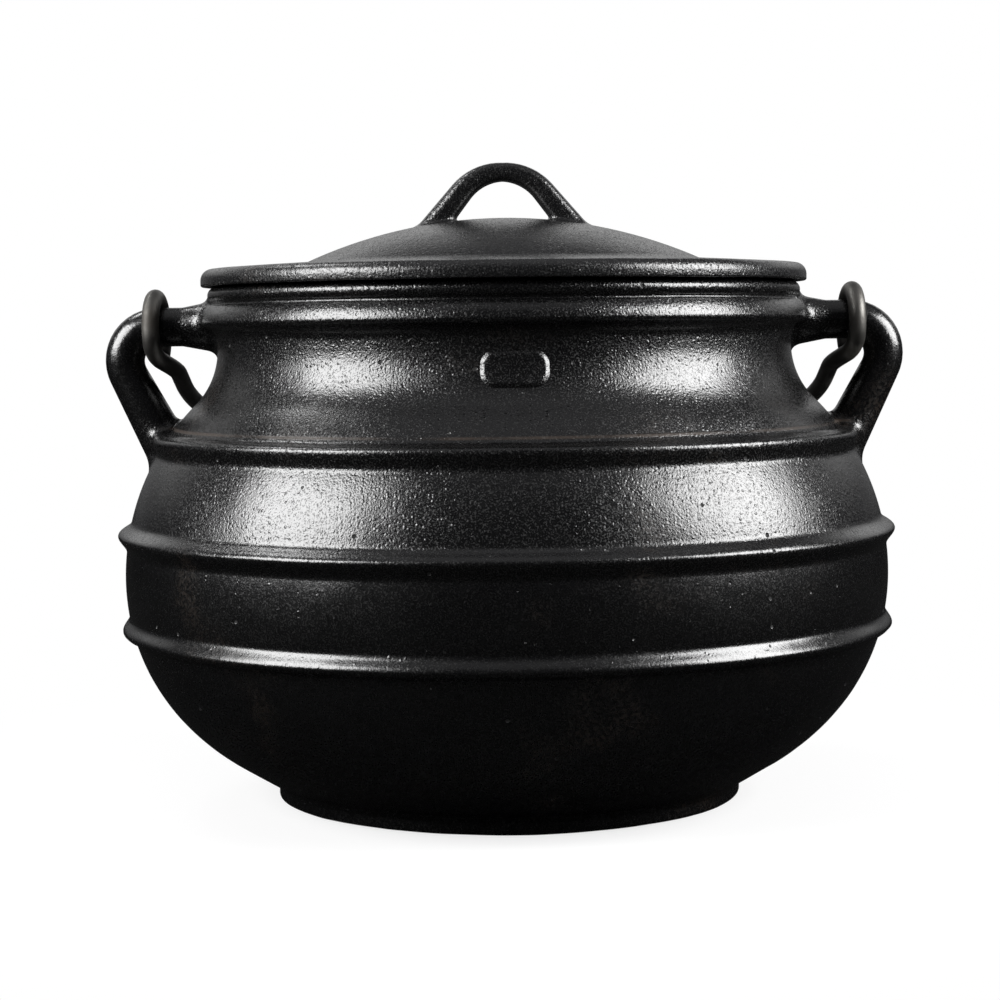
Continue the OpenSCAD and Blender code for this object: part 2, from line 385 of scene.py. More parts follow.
class Recipe:
    """A Geometry Nodes tree with named inputs, which makes a mesh from a line of points."""

    def __init__(self, name: str, sizes: dict[str, str]) -> None:
        """Makes an empty tree.

        Args:
            name: The tree's name.
            sizes: Input names and what kind of value each takes.
        """
        self.tree = bpy.data.node_groups.new(name, "GeometryNodeTree")
        self.graph = Graph(self.tree)
        interface = self.tree.interface
        interface.new_socket("Geometry", in_out="OUTPUT", socket_type="NodeSocketGeometry")
        for label, kind in {"Geometry": "Geometry", **sizes}.items():
            interface.new_socket(label, in_out="INPUT", socket_type="NodeSocket" + kind)
        self.given = self.graph.add("NodeGroupInput")

    def run(self, name: str, points: np.ndarray, values: dict[str, Any]) -> bpy.types.Mesh:
        """Runs the tree on an open line of points.

        Args:
            name: Name of the mesh that it gives.
            points: The line's points, in metres.
            values: What the tree's inputs take, by name.

        Returns:
            The plain mesh.
        """
        line = bpy.data.meshes.new(name + "_line")
        line.from_pydata(points.tolist(), [(i, i + 1) for i in range(len(points) - 1)], [])
        holder = set_down(line.name, line)
        modifier = holder.modifiers.new(name, "NODES")
        modifier.node_group = self.tree
        sockets = {item.name: item.identifier for item in self.tree.interface.items_tree
                   if item.in_out == "INPUT"}
        for label, value in values.items():
            modifier[sockets[label]] = value
        state = bpy.context.evaluated_depsgraph_get()
        mesh = bpy.data.meshes.new_from_object(holder.evaluated_get(state), depsgraph=state)
        mesh.name = name
        bpy.data.objects.remove(holder)
        return mesh


@dataclass(frozen=True)
class Wander:
    """How a casting's surface strays inward: depth and size of its waves, in metres, and their seed."""

    depth: float
    size: float
    seed: float


class Lathe(Recipe):
    """Spins a section round the Z axis and lets its surface wander inward, away from its limbs."""

    merge: float = 0.002 * MM
    limb_y: Span = (9 * MM, 24 * MM)
    waves: Span = (0.2, 0.8)

    def __init__(self) -> None:
        """Builds the tree."""
        super().__init__("lathe", {
            "Turns": "Int", "Wander": "Float", "Wander Size": "Float", "Seed": "Float"})
        graph, given = self.graph, self.given
        count = graph.add("GeometryNodeAttributeDomainSize", {0: given["Geometry"]})[0]
        grid = graph.add("GeometryNodeMeshGrid", {
            "Size X": 1.0, "Size Y": 1.0, "Vertices X": count, "Vertices Y": given["Turns"] + 1})[0]
        here = graph.add("GeometryNodeInputPosition")[0]
        axes = graph.add("ShaderNodeSeparateXYZ", {0: here})
        row = ((axes["X"] + 0.5) * (count - 1)).math("ROUND")
        section = graph.add("GeometryNodeSampleIndex", {
            "Geometry": given["Geometry"], "Value": here, "Index": row}, data_type="FLOAT_VECTOR")[0]
        size = graph.add("ShaderNodeSeparateXYZ", {0: section})
        turn = (0.5 - axes["Y"]) * (2 * math.pi)
        x, y = (size["X"] * turn.math(operation) for operation in ("COSINE", "SINE"))
        spun = graph.add("ShaderNodeCombineXYZ", {"X": x, "Y": y, "Z": size["Z"]})[0]
        placed = graph.add("GeometryNodeSetPosition", {"Geometry": grid, "Position": spun})[0]
        shut = graph.add("GeometryNodeMergeByDistance", {"Geometry": placed, "Distance": self.merge})[0]
        scale = graph.calc("DIVIDE", 1.0, given["Wander Size"])
        noise = graph.add("ShaderNodeTexNoise", {
            "Vector": here, "W": given["Seed"], "Scale": scale}, noise_dimensions="4D")[0]
        along = graph.add("GeometryNodeInputNormal")[0]
        beside = axes["Y"].size().step(*self.limb_y)
        sunk = (noise.step(*self.waves) - 1) * beside * given["Wander"]
        offset = graph.add("ShaderNodeVectorMath", {0: along, "Scale": sunk}, operation="SCALE")[0]
        strayed = graph.add("GeometryNodeSetPosition", {"Geometry": shut, "Offset": offset})[0]
        graph.add("NodeGroupOutput", {"Geometry": strayed})

    def turn(self, name: str, outline: np.ndarray, turns: int, wander: Wander) -> bpy.types.Mesh:
        """Turns a section.

        Args:
            name: Name of the mesh that it gives.
            outline: Radius and height of the section's points, in millimetres.
            turns: Steps in one turn.
            wander: How the surface strays.

        Returns:
            The turned mesh.
        """
        return self.run(name, np.insert(outline, 1, 0, axis=1) * MM, {
            "Turns": turns, "Wander": wander.depth, "Wander Size": wander.size, "Seed": wander.seed})


class Sweep(Recipe):
    """Draws a round wire along a line and rounds its two tips."""

    def __init__(self) -> None:
        """Builds the tree."""
        super().__init__("wire_sweep", {"Radius": "Float", "Sides": "Int", "Tip": "Float"})
        graph, given = self.graph, self.given
        curve = graph.add("GeometryNodeMeshToCurve", {"Mesh": given["Geometry"]})[0]
        along = graph.add("GeometryNodeSplineParameter")["Length"]
        length = graph.add("GeometryNodeSplineLength")["Length"]
        from_end = along.math("MINIMUM", length - along)
        share = from_end.math("DIVIDE", given["Tip"]).math("MINIMUM", 1.0)
        round_tip = (share * (2 - share) + 0.001).math("SQRT")
        sized = graph.add("GeometryNodeSetCurveRadius", {"Curve": curve, "Radius": round_tip})[0]
        ring = graph.add("GeometryNodeCurvePrimitiveCircle", {
            "Resolution": given["Sides"], "Radius": given["Radius"]})[0]
        wire = graph.add("GeometryNodeCurveToMesh", {
            "Curve": sized, "Profile Curve": ring, "Fill Caps": True, "Scale": round_tip})[0]
        graph.add("NodeGroupOutput", {"Geometry": wire})


def arc(centre: Span, radius: float, start: float, end: float, step: float = 2.0) -> Outline:
    """Gives points along an arc.

    Args:
        centre: The arc's centre.
        radius: Its radius.
        start: First angle, in degrees.
        end: Last angle, in degrees.
        step: About how many degrees lie between two points.

    Returns:
        The points, both ends included.
    """
    angles = np.radians(np.linspace(start, end, max(2, math.ceil(abs(end - start) / step)) + 1))
    return [(centre[0] + radius * math.cos(a), centre[1] + radius * math.sin(a)) for a in angles]


def evenly(outline: Outline, longest: float, shortest: float = 0.01) -> np.ndarray:
    """Splits the long steps of an outline and leaves out the tiny ones.

    Args:
        outline: Points in millimetres.
        longest: Longest step to leave.
        shortest: Shortest step to keep.

    Returns:
        The points, as an array of radius and height.
    """
    points = [outline[0]]
    for before, after in zip(outline, outline[1:]):
        gap = math.dist(before, after)
        if gap < shortest:
            continue
        parts = max(1, math.ceil(gap / longest))
        start, way = np.array(before), np.array(after) - before
        points += [tuple(start + way * i / parts) for i in range(1, parts + 1)]
    return np.array(points)


class Section:
    """Distance from a turned surface, read from a table."""

    def __init__(self, outline: np.ndarray, low: Span, high: Span, cell: float = 0.2) -> None:
        """Fills the table.

        Args:
            outline: Radius and height of the surface's points, with the metal on the left.
            low: Smallest radius and height in the table.
            high: Largest radius and height in the table.
            cell: Distance between the table's points.
        """
        self.low, self.cell = np.array(low), cell
        r, z = (np.arange(a, b + cell, cell) for a, b in zip(low, high))
        at = np.stack(np.meshgrid(r, z, indexing="ij"), -1).reshape(-1, 2)
        best = np.full(len(at), np.inf)
        sign = np.ones(len(at))
        for start, end in zip(outline, outline[1:]):
            way = end - start
            share = np.clip((at - start) @ way / (way @ way), 0, 1)
            gap = at - start - share[:, None] * way
            distance = np.hypot(gap[:, 0], gap[:, 1])
            side = np.sign((at - start) @ np.array([way[1], -way[0]]))
            closer = distance < best - 1e-9
            best[closer], sign[closer] = distance[closer], side[closer]
        self.table = (best * sign).reshape(len(r), len(z))

    def __call__(self, points: np.ndarray) -> np.ndarray:
        """Reads the distance at points in space, positive outside the metal."""
        flat = np.stack([np.hypot(points[:, 0], points[:, 1]), points[:, 2]], 1)
        at = np.clip((flat - self.low) / self.cell, 0, np.array(self.table.shape) - 1.001)
        i, share = at.astype(int), at - at.astype(int)
        near = [self.table[i[:, 0] + a, i[:, 1] + b] for a, b in ((0, 0), (1, 0), (0, 1), (1, 1))]
        low = near[0] * (1 - share[:, 0]) + near[1] * share[:, 0]
        high = near[2] * (1 - share[:, 0]) + near[3] * share[:, 0]
        return low * (1 - share[:, 1]) + high * share[:, 1]


@dataclass
class Limb:
    """A bent bar of changing section that grows out of a turned casting with soft fillets."""

    path: np.ndarray
    thick: np.ndarray
    wide: np.ndarray
    base: Section
    power: float = 2.0
    fillet: float = 6.0
    sink: float = 0.05
    root: float = 1.4
    cell: float = 0.6

    def bar(self, at: np.ndarray) -> np.ndarray:
        """Gives the rough distance from the bar alone at points in space."""
        best = np.full(len(at), np.inf)
        for k in range(len(self.path) - 1):
            start, way = self.path[k], self.path[k + 1] - self.path[k]
            length = np.linalg.norm(way)
            along = way / length
            side = np.array([along[2], 0, -along[0]])
            share = np.clip((at - start) @ along / length, 0, 1)
            off = at - start - share[:, None] * way
            half_t, half_w = ((v[k] + (v[k + 1] - v[k]) * share) / 2 for v in (self.thick, self.wide))
            inward = np.sqrt((off @ side) ** 2 + (off @ along) ** 2) / half_t
            across = np.abs(off[:, 1]) / half_w
            size = (inward ** self.power + across ** self.power) ** (1 / self.power)
            best = np.minimum(best, (size - 1) * np.minimum(half_t, half_w))
        return best

    def value(self, at: np.ndarray) -> np.ndarray:
        """Gives a field that is negative inside the bar, its fillets and a thin root under the skin."""
        bar, skin = self.bar(at), self.base(at) + self.sink
        near = np.maximum(self.fillet - np.abs(bar - skin), 0) / self.fillet
        joined = np.minimum(bar, skin) - near ** 2 * self.fillet / 4
        return np.maximum(np.maximum(joined, -self.root - skin), bar - self.fillet - 1)

    def grow(self) -> tuple[np.ndarray, np.ndarray]:
        """Meshes the field.

        Returns:
            Points in millimetres and four-sided faces that point outwards.
        """
        reach = self.fillet + max(self.thick.max(), self.wide.max()) / 2 + 2
        low, high = self.path.min(0) - reach, self.path.max(0) + reach
        axes = [np.arange(a, b + self.cell, self.cell) for a, b in zip(low, high)]
        grid = np.stack(np.meshgrid(*axes, indexing="ij"), -1)
        values = self.value(grid.reshape(-1, 3)).reshape(grid.shape[:3])
        points, faces = surface_net(values, low, self.cell)
        tiny, rounds, flattest = 0.05, 4, 0.25
        for _ in range(rounds):
            now = self.value(points)
            slope = np.stack([self.value(points + tiny * e) - self.value(points - tiny * e)
                              for e in np.eye(3)], 1) / (2 * tiny)
            move = now[:, None] * slope / np.maximum((slope ** 2).sum(1, keepdims=True), flattest)
            points = points - np.clip(move, -self.cell / 2, self.cell / 2)
        return points, faces


def surface_net(values: np.ndarray, low: np.ndarray, cell: float) -> tuple[np.ndarray, np.ndarray]:
    """Meshes the zero surface of a field on a grid.

    Args:
        values: The field, negative inside.
        low: The grid's lowest corner.
        cell: Distance between the grid's points.

    Returns:
        Points, and four-sided faces that point outwards.
    """
    shape = np.array(values.shape) - 1
    inside = values < 0

    def corner(array: np.ndarray, at: Sequence[int]) -> np.ndarray:
        """Gives the array's values at one corner of every cell."""
        return array[tuple(slice(a, a + n) for a, n in zip(at, shape))]

    corners = list(itertools.product((0, 1), repeat=3))
    total = sum(corner(inside, c).astype(int) for c in corners)
    active = (total > 0) & (total < 8)
    number = np.full(shape, -1)
    number[active] = np.arange(active.sum())
    cells = np.argwhere(active).astype(float)
    place, count = np.zeros_like(cells), np.zeros(len(cells))
    for axis in range(3):
        for c in (c for c in corners if c[axis] == 0):
            other = tuple(1 if k == axis else c[k] for k in range(3))
            a, b = corner(values, c)[active], corner(values, other)[active]
            cross = (a < 0) != (b < 0)
            point = cells + c
            point[cross, axis] += a[cross] / (a[cross] - b[cross])
            place[cross] += point[cross]
            count += cross
    faces = []
    for axis in range(3):
        u, v = np.roll(np.eye(3, dtype=int), -1 - axis, 0)[:2]
        first, last = np.delete(inside, -1, axis), np.delete(inside, 0, axis)
        at = np.argwhere(first != last)
        at = at[((at - u - v) >= 0).all(1) & (at < shape).all(1)]
        quads = np.stack([number[tuple((at - m).T)] for m in (u + v, v, 0 * u, u)], 1)
        leaving = first[tuple(at.T)]
        faces.append(np.where(leaving[:, None], quads, quads[:, ::-1]))
    return low + cell * place / count[:, None], np.concatenate(faces)


def solid_mesh(name: str, points: np.ndarray, faces: np.ndarray) -> bpy.types.Mesh:
    """Makes a mesh.

    Args:
        name: The mesh's name.
        points: Points in millimetres.
        faces: Corner numbers of its faces.

    Returns:
        The mesh, in metres.
    """
    mesh = bpy.data.meshes.new(name)
    mesh.from_pydata((points * MM).tolist(), [], faces.tolist())
    return mesh


class Body(Enum):
    """The bodies that the pieces ride on."""

    POT = "pot"
    BAIL = "bail"


def put(name: str, meshes: list[bpy.types.Mesh], finish: Finish, body: Body, node: str) -> None:
    """Makes one smooth piece of one or more meshes, parents it to its body and hides the solid that it
    stands for.

    Args:
        name: The piece's name.
        meshes: Closed meshes that it is made of.
        finish: Its finish, which also names the record's slot.
        body: The body that it rides on.
        node: The solid that it stands for.
    """
    cast = bmesh.new()
    for mesh in meshes:
        cast.from_mesh(mesh)
    LOG.info("%s: %d faces, %.1f cm3", name, len(cast.faces), cast.calc_volume(signed=True) * 1e6)
    whole = bpy.data.meshes.new(name)
    cast.to_mesh(whole)
    cast.free()
    whole.materials.append(finish.material())
    whole.shade_smooth()
    piece = set_down(name, whole)
    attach(piece, body.value)
    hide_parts(node)


@dataclass
class Pot:
    """The pot's casting: foot, belly with three ribs, neck, beaded rim and two ears. Millimetres."""

    foot_r: float = 53.9
    foot_h: float = 3.4
    foot_edge_r: float = 0.8
    foot_top: Span = (0.9, 0.2)
    skirt_slope: float = 30
    belly_r: float = 88.3
    lower_arc_r: float = 49
    upper_arc_r: float = 56
    wall: float = 4
    rib_heights: tuple[float, float, float] = (2.2, 2.45, 2.6)
    rib_widths: tuple[float, float, float] = (6.3, 7.0, 7.2)
    rib_rises: tuple[float, float, float] = (-11.7, 10.4, 32.4)
    neck_r: float = 66.3
    cove_r: float = 18
    neck_rise: float = 14.15
    bead_r: float = 1.4
    bead_proud: float = 3.4
    bead_drop: float = 8.0
    bead_face_r: float = 7.0
    bead_face_turn: float = 12
    bead_face_end: float = 46
    bead_wrap: float = 172
    flare_r: float = 3.2
    lip_r: float = 2.0
    lip_proud: float = 2.1
    lip_start: float = -48
    notch: Span = (0.7, 3.8)
    mouth_edge_r: float = 0.8
    ear_drop: float = 8.95
    ear_bar_r: float = 4.5
    ear_proud: float = 4.5
    ear_corner_r: float = 7.8
    ear_lean: float = 27
    ear_root_d: float = 13
    ear_taper: float = 10.5
    ear_foot_d: float = 11
    ear_foot_l: float = 24
    pad_at: Span = (2, 99.9)
    pad_size: Span = (13.8, 7.4)
    pad_corner_r: float = 3.0
    pad_slope: float = 1.7
    pad_proud: float = 0.35
    pad_sink: float = 0.5
    pad_margin: float = 1.2
    pad_counts: tuple[int, int] = (61, 37)
    turns: int = 224
    wander: Wander = Wander(0.32 * MM, 22 * MM, 3.0)
    finish: Finish = field(default_factory=lambda: CastIron("pot_iron"))

    def __post_init__(self) -> None:
        """Works out the centres of the section's arcs and of the ears' bends."""
        slope = math.radians(self.skirt_slope)
        lower_x = self.belly_r - self.lower_arc_r
        skirt_top = lower_x + self.lower_arc_r * math.sin(slope)
        self.belly_z = (self.foot_h + (skirt_top - self.foot_r) * math.tan(slope)
                        + self.lower_arc_r * math.cos(slope))
        self.lower_c = (lower_x, self.belly_z)
        self.upper_c = (self.belly_r - self.upper_arc_r, self.belly_z)
        cove_x, reach = self.neck_r + self.cove_r, self.upper_arc_r + self.cove_r
        rise = math.sqrt(reach ** 2 - (cove_x - self.upper_c[0]) ** 2)
        self.cove_c = (cove_x, self.belly_z + rise)
        self.shoulder = math.degrees(math.atan2(rise, cove_x - self.upper_c[0]))
        self.rim_z = self.cove_c[1] + self.neck_rise
        self.bead_c = (self.neck_r + self.bead_proud - self.bead_r, self.rim_z - self.bead_drop)
        flare_x, reach = self.neck_r + self.flare_r, self.bead_r + self.flare_r
        drop = math.sqrt(reach ** 2 - (flare_x - self.bead_c[0]) ** 2)
        self.flare_c = (flare_x, self.bead_c[1] - drop)
        self.flare = math.degrees(math.atan2(drop, self.bead_c[0] - flare_x))
        turn, inward = math.radians(self.bead_face_turn), self.bead_face_r - self.bead_r
        bead_x, bead_z = self.bead_c
        self.face_c = (bead_x - inward * math.cos(turn), bead_z - inward * math.sin(turn))
        self.lip_c = (self.neck_r + self.lip_proud - self.lip_r, self.rim_z - self.lip_r)
        self.ear_z = self.rim_z - self.ear_drop
        self.ear_bend_x = self.belly_r + self.ear_proud - self.ear_bar_r - self.ear_corner_r

    def ribbed(self, centre: Span, radius: float, start: float, end: float) -> Outline:
        """Gives an arc of the belly with its ribs.

        Args:
            centre: The arc's centre.
            radius: Its radius.
            start: First angle, in degrees.
            end: Last angle, in degrees.

        Returns:
            Points along the arc, raised where the ribs run.
        """
        ribs = [(math.asin(rise / (radius + high)), width / radius, high)
                for rise, width, high in zip(self.rib_rises, self.rib_widths, self.rib_heights)
                if (rise < 0) == (end <= 0)]
        plain = np.radians(np.linspace(start, end, math.ceil(abs(end - start)) + 1))
        fine = [rib + width * np.linspace(-0.5, 0.5, 17) for rib, width, _ in ribs]
        clear = [a for a in plain if min(abs(a - rib) - width / 2 for rib, width, _ in ribs) > 0.004]
        points = []
        for a in np.union1d(clear, np.concatenate(fine)):
            off, high = min((abs(a - rib) / width, high) for rib, width, high in ribs)
            raised = high * (1 + math.cos(2 * math.pi * off)) / 2 if off < 0.5 else 0
            points.append((centre[0] + (radius + raised) * math.cos(a),
                           centre[1] + (radius + raised) * math.sin(a)))
        return points

    def outside(self) -> Outline:
        """Gives the outside from the middle of the foot up to the rim's top.

        Some arcs start a few degrees late, so that no point is there twice.
        """
        edge, (top_r, top_drop) = self.foot_edge_r, self.foot_top
        skirt_x = self.foot_r + top_r * (1 - math.cos(math.radians(self.skirt_slope)))
        return ([(0, 0)] + arc((self.foot_r - edge, edge), edge, -90, 0, 15)
                + [(self.foot_r, self.foot_h - top_r), (skirt_x, self.foot_h - top_drop)]
                + self.ribbed(self.lower_c, self.lower_arc_r, self.skirt_slope - 90, 0)
                + self.ribbed(self.upper_c, self.upper_arc_r, 0.4, self.shoulder)
                + arc(self.cove_c, self.cove_r, 180 + self.shoulder - 3, 180, 3)
                + arc(self.flare_c, self.flare_r, 180, self.flare, 8)
                + arc(self.bead_c, self.bead_r, self.flare - self.bead_wrap, self.bead_face_turn, 12)
                + arc(self.face_c, self.bead_face_r, self.bead_face_turn + 3, self.bead_face_end, 4)
                + [(self.neck_r + self.notch[0], self.rim_z - self.notch[1])]
                + arc(self.lip_c, self.lip_r, self.lip_start, 90, 9))

    def inside(self) -> Outline:
        """Gives the inside from the rim's top down to the middle of the floor."""
        mouth_r, edge = self.neck_r - self.wall, self.mouth_edge_r
        return (arc((mouth_r + edge, self.rim_z - edge), edge, 90, 180, 15)
                + arc(self.cove_c, self.cove_r + self.wall, 180, 180 + self.shoulder, 3)
                + arc(self.upper_c, self.upper_arc_r - self.wall, self.shoulder - 3, 3, 3)
                + arc(self.lower_c, self.lower_arc_r - self.wall, 0, -90, 3)
                + [(0, self.belly_z - self.lower_arc_r + self.wall)])

    def ear(self) -> tuple[np.ndarray, np.ndarray]:
        """Grows the right ear out of the rim and the shoulder."""
        skin = Section(evenly(self.outside(), longest=3), low=(54, 60), high=(98, 124))
        root_x, foot_l = self.neck_r - self.wall / 2, self.ear_foot_l
        centre = (self.ear_bend_x, self.ear_z - self.ear_corner_r)
        bend = arc(centre, self.ear_corner_r, 90, -self.ear_lean, 9)
        lean = math.radians(self.ear_lean)
        foot = (bend[-1][0] - foot_l * math.sin(lean), bend[-1][1] - foot_l * math.cos(lean))
        line = [(root_x, self.ear_z), (root_x + self.ear_taper, self.ear_z)] + bend + [foot]
        bar_d = 2 * self.ear_bar_r
        sizes = np.array([self.ear_root_d, bar_d] + [bar_d] * len(bend) + [self.ear_foot_d])
        path = np.array([(x, 0, z) for x, z in line])
        return Limb(path, sizes, sizes, skin, fillet=3.0).grow()

    def pad(self) -> tuple[np.ndarray, np.ndarray]:
        """Shapes the low blank pad on the neck's front, whose border is sunk into the iron.

        Returns:
            Points in millimetres and four-sided faces that point outwards.
        """
        half_w, half_h = (v / 2 for v in self.pad_size)
        end_w, end_h = half_w + self.pad_margin, half_h + self.pad_margin
        across, up = np.meshgrid(np.linspace(-end_w, end_w, self.pad_counts[0]),
                                 np.linspace(-end_h, end_h, self.pad_counts[1]), indexing="ij")
        past_w = np.abs(across) - half_w + self.pad_corner_r
        past_h = np.abs(up) - half_h + self.pad_corner_r
        past = (np.hypot(np.maximum(past_w, 0), np.maximum(past_h, 0))
                + np.minimum(np.maximum(past_w, past_h), 0) - self.pad_corner_r)
        share = np.clip(0.5 - past / self.pad_slope, 0, 1)
        front = (self.pad_proud + self.pad_sink) * share * share * (3 - 2 * share) - self.pad_sink
        x, z = self.pad_at[0] + across, self.pad_at[1] + up
        below = np.minimum(z - self.cove_c[1], 0)
        skin = self.cove_c[0] - np.sqrt(self.cove_r ** 2 - below ** 2)
        layers = [np.stack([x, -np.sqrt((skin + out) ** 2 - x ** 2), z], -1)
                  for out in (front, np.full(x.shape, -2 * self.pad_sink))]
        number = np.arange(x.size).reshape(x.shape)
        behind = number.copy()
        inner = behind[1:-1, 1:-1]
        inner[:] = x.size + np.arange(inner.size).reshape(inner.shape)
        points = np.concatenate([layers[0].reshape(-1, 3), layers[1][1:-1, 1:-1].reshape(-1, 3)])
        faces = []
        for n, order in ((number, (0, 1, 2, 3)), (behind, (3, 2, 1, 0))):
            quad = np.stack([n[:-1, :-1], n[1:, :-1], n[1:, 1:], n[:-1, 1:]], -1).reshape(-1, 4)
            faces.append(quad[:, order])
        return points, np.concatenate(faces)

    def build(self, lathe: Lathe) -> None:
        """Turns the pot, grows its ears, adds its pad and hands it over."""
        outline = evenly(self.outside() + self.inside(), longest=3.0)
        turned = lathe.turn("pot_turned", outline, self.turns, self.wander)
        points, faces = self.ear()
        ears = [solid_mesh("ear_right", points, faces),
                solid_mesh("ear_left", points * (-1, 1, 1), faces[:, ::-1])]
        pad = solid_mesh("neck_pad", *self.pad())
        put("pot_casting", [turned, *ears, pad], self.finish, Body.POT, "pot")


@dataclass
class Lid:
    """The lid's casting: margin, dome, arch grip and the ring in the mouth. Millimetres."""

    pot: Pot
    over: float = 0.2
    edge: float = 4.1
    edge_r: float = 2.6
    edge_end: float = 83
    low_edge_r: float = 0.5
    margin_rise: float = 1.2
    dome_r: float = 46
    dome_rise: float = 10.0
    wall: float = 3.5
    clear: float = 0.8
    ring_t: float = 3
    ring_h: float = 4
    ring_edge_r: float = 0.7
    grip_h: float = 12.78
    grip_t: float = 4.3
    grip_foot_t: float = 6.3
    grip_w: float = 7
    grip_foot_w: float = 8.6
    grip_bend_r: float = 12.3
    grip_slope: float = 51
    turns: int = 256
    wander: Wander = Wander(0.2 * MM, 26 * MM, 11.0)
    finish: Finish = field(default_factory=lambda: CastIron(
        "lid_iron", base=(0.0025, 0.0025, 0.0027), lump_height=0.05 * MM, pit_depth=0.12 * MM,
        gloss=0.25, seam=False))

    def __post_init__(self) -> None:
        """Works out the dome and the lid's levels."""
        self.seat_z = self.pot.rim_z
        self.radius = self.pot.neck_r + self.pot.bead_proud + self.over
        self.margin_z = self.seat_z + self.edge + self.margin_rise
        self.top_z = self.margin_z + self.dome_rise
        self.ball_r = (self.dome_r ** 2 + self.dome_rise ** 2) / (2 * self.dome_rise)
        self.ball_c = (0.0, self.top_z - self.ball_r)
        self.ball_angle = math.degrees(math.acos(self.dome_r / self.ball_r))

    def outside(self) -> Outline:
        """Gives the outside from the seat's edge up to the middle of the dome."""
        edge_c = (self.radius - self.edge_r, self.seat_z + self.edge - self.edge_r)
        low_c = (self.radius - self.low_edge_r, self.seat_z + self.low_edge_r)
        return (arc(low_c, self.low_edge_r, -90, 0, 15) + arc(edge_c, self.edge_r, 0, self.edge_end, 12)
                + arc(self.ball_c, self.ball_r, self.ball_angle, 90, 1.5))

    def inside(self) -> Outline:
        """Gives the underside from the middle of the dome to the seat's edge."""
        ring_out = self.pot.neck_r - self.pot.wall - self.clear
        ring_in = ring_out - self.ring_t
        slope = self.margin_rise / (self.radius - self.edge_r - self.dome_r)
        under_z = self.margin_z - slope * (ring_in - self.dome_r) - self.wall
        edge = self.ring_edge_r
        edge_z = self.seat_z - self.ring_h + edge
        return (arc(self.ball_c, self.ball_r - self.wall, 90, self.ball_angle, 2) + [(ring_in, under_z)]
                + arc((ring_in + edge, edge_z), edge, 180, 270, 30)
                + arc((ring_out - edge, edge_z), edge, 270, 360, 30)
                + [(ring_out, self.seat_z), (self.radius - self.low_edge_r, self.seat_z)])

    def grip(self) -> tuple[np.ndarray, np.ndarray]:
        """Grows the arch grip out of the dome."""
        outline = evenly(self.outside(), longest=3)
        skin = Section(outline, low=(0, self.seat_z - 6), high=(40, self.top_z + 16))
        centre = (0.0, self.top_z + self.grip_h - self.grip_t / 2 - self.grip_bend_r)
        bend = 90 - self.grip_slope
        top = arc(centre, self.grip_bend_r, 90, bend, 6)
        slope = math.radians(self.grip_slope)
        leg = (top[-1][1] - self.top_z + self.dome_rise / 2) / math.sin(slope)
        foot = (top[-1][0] + leg * math.cos(slope), top[-1][1] - leg * math.sin(slope))
        half = top + [foot]
        share = np.append(np.linspace(0, 0.5, len(top)), 1.0)
        thick = self.grip_t + (self.grip_foot_t - self.grip_t) * share
        wide = self.grip_w + (self.grip_foot_w - self.grip_w) * share
        path = np.array([(-x, 0, z) for x, z in half[:0:-1]] + [(x, 0, z) for x, z in half])
        thick, wide = (np.concatenate([v[:0:-1], v]) for v in (thick, wide))
        return Limb(path, thick, wide, skin, power=3.0, fillet=1.3, root=1.2, cell=0.4).grow()

    def build(self, lathe: Lathe) -> None:
        """Turns the lid, grows its grip and hands it over."""
        outline = evenly(self.outside() + self.inside(), longest=2.5)
        turned = lathe.turn("lid_turned", outline, self.turns, self.wander)
        put("lid_casting", [turned, solid_mesh("grip", *self.grip())], self.finish, Body.POT, "lid")


@dataclass
class Bail:
    """The bent wire with an eye round each ear. Millimetres and degrees."""

    pot: Pot
    wire_r: float = 2
    eye_play: float = 1.05
    eye_wrap: float = 315
    eye_out: float = 0.3
    eye_turn: float = 3
    eye_clear: float = 0.3
    neck_in: float = 4.1
    neck_bend: float = 16
    neck_lead: float = 6.4
    bow_room: float = 6.7
    droop: float = 18.72
    sides: int = 24
    tip: float = 1.6
    finish: Finish = field(default_factory=lambda: DrawnWire("bail_wire"))

    def path(self) -> np.ndarray:
        """Gives the wire's middle line from one eye's tip to the other's, where the bail rests."""
        pot = self.pot
        eye_r = pot.ear_bar_r + self.wire_r + self.eye_play
        eye_x = pot.ear_bend_x + self.eye_out
        bow_r = eye_x - self.neck_in
        arm = pot.belly_r + self.bow_room - bow_r
        hinge_z = pot.ear_z + pot.ear_bar_r + self.eye_clear - (eye_r - self.wire_r)
        eye_step, arm_step, bow_step = 5, 0.7, 1.5

        def shift(along: float) -> float:
            """Gives how far in from the eye the wire has come."""
            k = min(1.0, max(0.0, (along + self.neck_lead) / self.neck_bend))
            return -self.neck_in * k * k * (3 - 2 * k)

        half = []
        for a in np.arange(270 - self.eye_wrap, 270.1, eye_step):
            c, s = math.cos(math.radians(a)), math.sin(math.radians(a))
            turned = eye_r * c * math.sin(math.radians(self.eye_turn))
            half.append((eye_x - turned + shift(math.radians(a - 270) * eye_r), eye_r * c, eye_r * s))
        half += [(eye_x + shift(y), y, -eye_r) for y in np.arange(arm_step, arm, arm_step)]
        half += [(bow_r * math.cos(a), arm + bow_r * math.sin(a), -eye_r)
                 for a in np.radians(np.arange(0, 90.1, bow_step))]
        right = np.array(half)
        line = np.concatenate([right, right[-2::-1] * (-1, 1, 1)])
        turn = Matrix.Rotation(-math.radians(self.droop), 3, "X")
        return line @ np.array(turn).T + (0, 0, hinge_z)

    def build(self, sweep: Sweep) -> None:
        """Sweeps the wire and hands it over."""
        wire = sweep.run("bail_wire", self.path() * MM, {
            "Radius": self.wire_r * MM, "Sides": self.sides, "Tip": self.tip * MM})
        put("bail_wire", [wire], self.finish, Body.BAIL, "bail")


